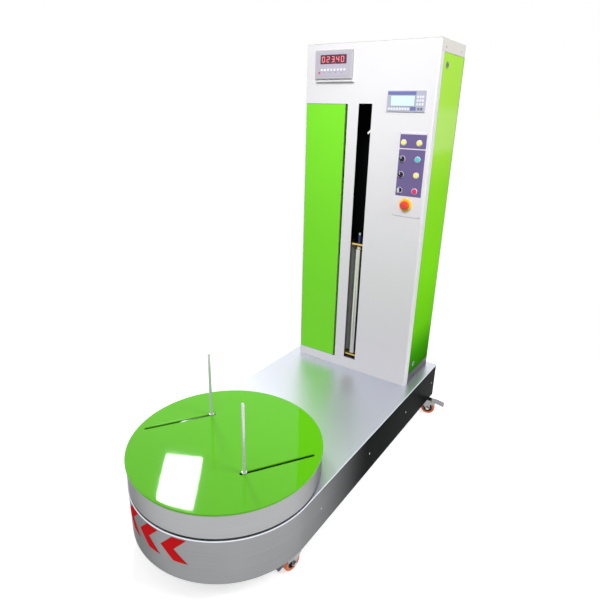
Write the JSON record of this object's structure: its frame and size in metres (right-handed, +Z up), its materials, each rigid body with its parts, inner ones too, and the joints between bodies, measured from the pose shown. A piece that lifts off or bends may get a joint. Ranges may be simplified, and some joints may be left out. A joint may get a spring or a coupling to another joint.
{
  "type": "turntable wrapping machine",
  "caption": "Turntable stretch wrapper for bags and cases: round-nosed base on braked casters, weighing turntable with sliding clamp rods, and a column with a film lift behind a slotted front.",
  "frame": {"origin": "on the floor under the middle of the machine's box, midway between its sides and between its front and back", "axes": "+Z up, -Y towards the turntable end, +Y towards the column, +X the side with the service door"},
  "size_m": [0.9186, 1.69, 1.892],
  "materials": {
    "grey_paint": "satin",
    "white_paint": "smooth semi-gloss powder coat",
    "beige_paint": "smooth semi-gloss powder coat",
    "green_paint": "gloss",
    "green_gloss": "high gloss",
    "stainless": "fine brushed",
    "stainless_top": "bright satin",
    "bare_steel": "machined",
    "zinc_plate": "bright zinc plate",
    "chrome": "polished",
    "yellow_zinc": "yellow chromated zinc",
    "roller_metal": "satin",
    "roller_rubber": "smooth",
    "orange_tyre": "satin polyurethane",
    "film": "wound clear film",
    "cardboard": "paper tube",
    "grey_plastic": "fine grained",
    "plate_white": "satin",
    "black_plastic": "satin",
    "yellow_plastic": "gloss",
    "green_plastic": "gloss",
    "red_plastic": "gloss"
  },
  "bodies": {
    "machine": {"base_frame": "grey_paint", "base_skirt": "stainless", "base_top_plate": "stainless_top", "table_bearing_housing": "grey_paint", "load_cell": "bare_steel", "table_gearmotor": "grey_paint", "table_chain": "bare_steel", "column_frame": "white_paint", "column_front_panel": "white_paint", "column_top_cover": "beige_paint", "column_back_panel": "white_paint", "column_left_panel": "green_paint", "guide_rod_front": "chrome", "guide_rod_rear": "chrome", "lift_chain": "bare_steel", "lift_gearmotor": "grey_paint", "control_box": "grey_paint", "scale_indicator": "grey_plastic", "hmi_terminal": "grey_plastic", "control_plate": "plate_white", "estop_collar": "yellow_plastic"},
    "turntable": {"turntable_plate": "green_gloss", "turntable_skirt": "stainless", "table_sprocket": "bare_steel"},
    "table_drive_sprocket": {"table_drive_sprocket": "bare_steel"},
    "clamp_rod_front": {"clamp_rod_front": "chrome"},
    "clamp_rod_rear": {"clamp_rod_rear": "chrome"},
    "film_door": {"film_door": "green_paint"},
    "side_door": {"side_door": "green_paint"},
    "side_door_lock_upper": {"side_door_lock_upper": "chrome"},
    "side_door_lock_lower": {"side_door_lock_lower": "chrome"},
    "carriage": {"carriage_frame": "yellow_zinc"},
    "exit_roller": {"exit_roller": "roller_metal"},
    "stretch_roller_front": {"stretch_roller_front": "roller_rubber"},
    "stretch_roller_rear": {"stretch_roller_rear": "roller_rubber"},
    "film_supply": {"film_roll": "film", "film_core": "cardboard"},
    "lift_sprocket_lower": {"lift_sprocket_lower": "bare_steel"},
    "lift_sprocket_upper": {"lift_sprocket_upper": "bare_steel"},
    "button_yellow_left": {"button_yellow_left": "yellow_plastic"},
    "button_yellow_right": {"button_yellow_right": "yellow_plastic"},
    "button_green": {"button_green": "green_plastic"},
    "button_yellow_lower": {"button_yellow_lower": "yellow_plastic"},
    "button_red": {"button_red": "red_plastic"},
    "knob_upper": {"knob_upper": "black_plastic"},
    "knob_lower": {"knob_lower": "black_plastic"},
    "selector_switch": {"selector_switch": "black_plastic"},
    "estop_mushroom": {"estop_mushroom": "red_plastic"},
    "caster_front_right": {"caster_fork_front_right": "zinc_plate"},
    "caster_wheel_front_right": {"caster_wheel_front_right": "orange_tyre"},
    "caster_pedal_front_right": {"caster_pedal_front_right": "zinc_plate"},
    "caster_front_left": {"caster_fork_front_left": "zinc_plate"},
    "caster_wheel_front_left": {"caster_wheel_front_left": "orange_tyre"},
    "caster_pedal_front_left": {"caster_pedal_front_left": "zinc_plate"},
    "caster_rear_right": {"caster_fork_rear_right": "zinc_plate"},
    "caster_wheel_rear_right": {"caster_wheel_rear_right": "orange_tyre"},
    "caster_pedal_rear_right": {"caster_pedal_rear_right": "zinc_plate"},
    "caster_rear_left": {"caster_fork_rear_left": "zinc_plate"},
    "caster_wheel_rear_left": {"caster_wheel_rear_left": "orange_tyre"},
    "caster_pedal_rear_left": {"caster_pedal_rear_left": "zinc_plate"}
  },
  "joints": [
    {"name": "table_turn", "type": "hinge", "parent": "machine", "child": "turntable", "pos_m": [0, -0.47, 0.402], "axis": [0, 0, 1], "continuous": true},
    {"name": "table_drive_turn", "type": "hinge", "parent": "machine", "child": "table_drive_sprocket", "pos_m": [0, -0.2, 0.316], "axis": [0, 0, 1], "continuous": true},
    {"name": "clamp_rod_front_slide", "type": "slide", "parent": "turntable", "child": "clamp_rod_front", "axis": [0.5373, 0.8434, 0], "range_m": [-0.0105, 0.266]},
    {"name": "clamp_rod_rear_slide", "type": "slide", "parent": "turntable", "child": "clamp_rod_rear", "axis": [-0.5373, -0.8434, 0], "range_m": [-0.0105, 0.266]},
    {"name": "film_door_swing", "type": "hinge", "parent": "machine", "child": "film_door", "pos_m": [-0.318, 0.505, 0.99], "axis": [0, 0, -1], "range_deg": [0, 110]},
    {"name": "side_door_swing", "type": "hinge", "parent": "machine", "child": "side_door", "pos_m": [0.325, 0.8065, 1.09], "axis": [0, 0, 1], "range_deg": [0, 110]},
    {"name": "side_door_lock_upper_turn", "type": "hinge", "parent": "side_door", "child": "side_door_lock_upper", "pos_m": [0.325, 0.591, 1.7952], "axis": [-1, 0, 0], "range_deg": [0, 90]},
    {"name": "side_door_lock_lower_turn", "type": "hinge", "parent": "side_door", "child": "side_door_lock_lower", "pos_m": [0.325, 0.591, 0.3906], "axis": [1, 0, 0], "range_deg": [0, 90]},
    {"name": "carriage_lift", "type": "slide", "parent": "machine", "child": "carriage", "axis": [0, 0, 1], "range_m": [0, 0.64]},
    {"name": "exit_roller_spin", "type": "hinge", "parent": "carriage", "child": "exit_roller", "pos_m": [0, 0.538, 0.68], "axis": [0, 0, 1], "continuous": true},
    {"name": "stretch_roller_front_spin", "type": "hinge", "parent": "carriage", "child": "stretch_roller_front", "pos_m": [-0.05, 0.566, 0.68], "axis": [0, 0, 1], "continuous": true},
    {"name": "stretch_roller_rear_spin", "type": "hinge", "parent": "carriage", "child": "stretch_roller_rear", "pos_m": [-0.036, 0.64, 0.68], "axis": [0, 0, 1], "continuous": true},
    {"name": "film_supply_spin", "type": "hinge", "parent": "carriage", "child": "film_supply", "pos_m": [-0.168, 0.665, 0.65], "axis": [0, 0, 1], "continuous": true},
    {"name": "lift_sprocket_lower_turn", "type": "hinge", "parent": "machine", "child": "lift_sprocket_lower", "pos_m": [0.16965, 0.66, 0.41], "axis": [0, 1, 0], "range_deg": [0, 1130]},
    {"name": "lift_sprocket_upper_turn", "type": "hinge", "parent": "machine", "child": "lift_sprocket_upper", "pos_m": [0.16965, 0.66, 1.78], "axis": [0, 1, 0], "range_deg": [0, 1130]},
    {"name": "button_yellow_left_press", "type": "slide", "parent": "machine", "child": "button_yellow_left", "axis": [0, 1, 0], "range_m": [0, 0.003], "stiffness_N_per_m": 800},
    {"name": "button_yellow_right_press", "type": "slide", "parent": "machine", "child": "button_yellow_right", "axis": [0, 1, 0], "range_m": [0, 0.003], "stiffness_N_per_m": 800},
    {"name": "button_green_press", "type": "slide", "parent": "machine", "child": "button_green", "axis": [0, 1, 0], "range_m": [0, 0.003], "stiffness_N_per_m": 800},
    {"name": "button_yellow_lower_press", "type": "slide", "parent": "machine", "child": "button_yellow_lower", "axis": [0, 1, 0], "range_m": [0, 0.003], "stiffness_N_per_m": 800},
    {"name": "button_red_press", "type": "slide", "parent": "machine", "child": "button_red", "axis": [0, 1, 0], "range_m": [0, 0.003], "stiffness_N_per_m": 800},
    {"name": "knob_upper_turn", "type": "hinge", "parent": "machine", "child": "knob_upper", "pos_m": [0.2025, 0.5047, 1.414], "axis": [0, 1, 0], "range_deg": [-140, 140]},
    {"name": "knob_lower_turn", "type": "hinge", "parent": "machine", "child": "knob_lower", "pos_m": [0.2025, 0.5047, 1.346], "axis": [0, 1, 0], "range_deg": [-140, 140]},
    {"name": "selector_switch_turn", "type": "hinge", "parent": "machine", "child": "selector_switch", "pos_m": [0.2025, 0.5047, 1.277], "axis": [0, 1, 0], "range_deg": [-45, 45]},
    {"name": "estop_press", "type": "slide", "parent": "machine", "child": "estop_mushroom", "axis": [0, 1, 0], "range_m": [0, 0.005], "stiffness_N_per_m": 1200},
    {"name": "caster_swivel_front_right", "type": "hinge", "parent": "machine", "child": "caster_front_right", "pos_m": [0.339, -0.47, 0.0875], "axis": [0, 0, 1], "continuous": true},
    {"name": "caster_roll_front_right", "type": "hinge", "parent": "caster_front_right", "child": "caster_wheel_front_right", "pos_m": [0.33455, -0.50169, 0.0375], "axis": [0.9903, -0.1392, 0], "continuous": true},
    {"name": "caster_brake_front_right", "type": "hinge", "parent": "caster_front_right", "child": "caster_pedal_front_right", "pos_m": [0.33162, -0.52248, 0.072], "axis": [0.9903, -0.1392, 0], "range_deg": [0, 15]},
    {"name": "caster_swivel_front_left", "type": "hinge", "parent": "machine", "child": "caster_front_left", "pos_m": [-0.339, -0.47, 0.0875], "axis": [0, 0, 1], "continuous": true},
    {"name": "caster_roll_front_left", "type": "hinge", "parent": "caster_front_left", "child": "caster_wheel_front_left", "pos_m": [-0.33455, -0.50169, 0.0375], "axis": [0.9903, 0.1392, 0], "continuous": true},
    {"name": "caster_brake_front_left", "type": "hinge", "parent": "caster_front_left", "child": "caster_pedal_front_left", "pos_m": [-0.33162, -0.52248, 0.072], "axis": [0.9903, 0.1392, 0], "range_deg": [0, 15]},
    {"name": "caster_swivel_rear_right", "type": "hinge", "parent": "machine", "child": "caster_rear_right", "pos_m": [0.339, 0.795, 0.0875], "axis": [0, 0, 1], "continuous": true},
    {"name": "caster_roll_rear_right", "type": "hinge", "parent": "caster_rear_right", "child": "caster_wheel_rear_right", "pos_m": [0.3703, 0.80165, 0.0375], "axis": [-0.2079, 0.9781, 0], "continuous": true},
    {"name": "caster_brake_rear_right", "type": "hinge", "parent": "caster_rear_right", "child": "caster_pedal_rear_right", "pos_m": [0.39084, 0.80602, 0.072], "axis": [-0.2079, 0.9781, 0], "range_deg": [0, 15]},
    {"name": "caster_swivel_rear_left", "type": "hinge", "parent": "machine", "child": "caster_rear_left", "pos_m": [-0.339, 0.795, 0.0875], "axis": [0, 0, 1], "continuous": true},
    {"name": "caster_roll_rear_left", "type": "hinge", "parent": "caster_rear_left", "child": "caster_wheel_rear_left", "pos_m": [-0.3703, 0.80165, 0.0375], "axis": [-0.2079, -0.9781, 0], "continuous": true},
    {"name": "caster_brake_rear_left", "type": "hinge", "parent": "caster_rear_left", "child": "caster_pedal_rear_left", "pos_m": [-0.39084, 0.80602, 0.072], "axis": [-0.2079, -0.9781, 0], "range_deg": [0, 15]}
  ],
  "couplings": [
    {"joint": "table_drive_turn", "follows": "table_turn", "ratio": 3},
    {"joint": "lift_sprocket_lower_turn", "follows": "carriage_lift", "rad_per_m": 30.723},
    {"joint": "lift_sprocket_upper_turn", "follows": "carriage_lift", "rad_per_m": 30.723}
  ]
}
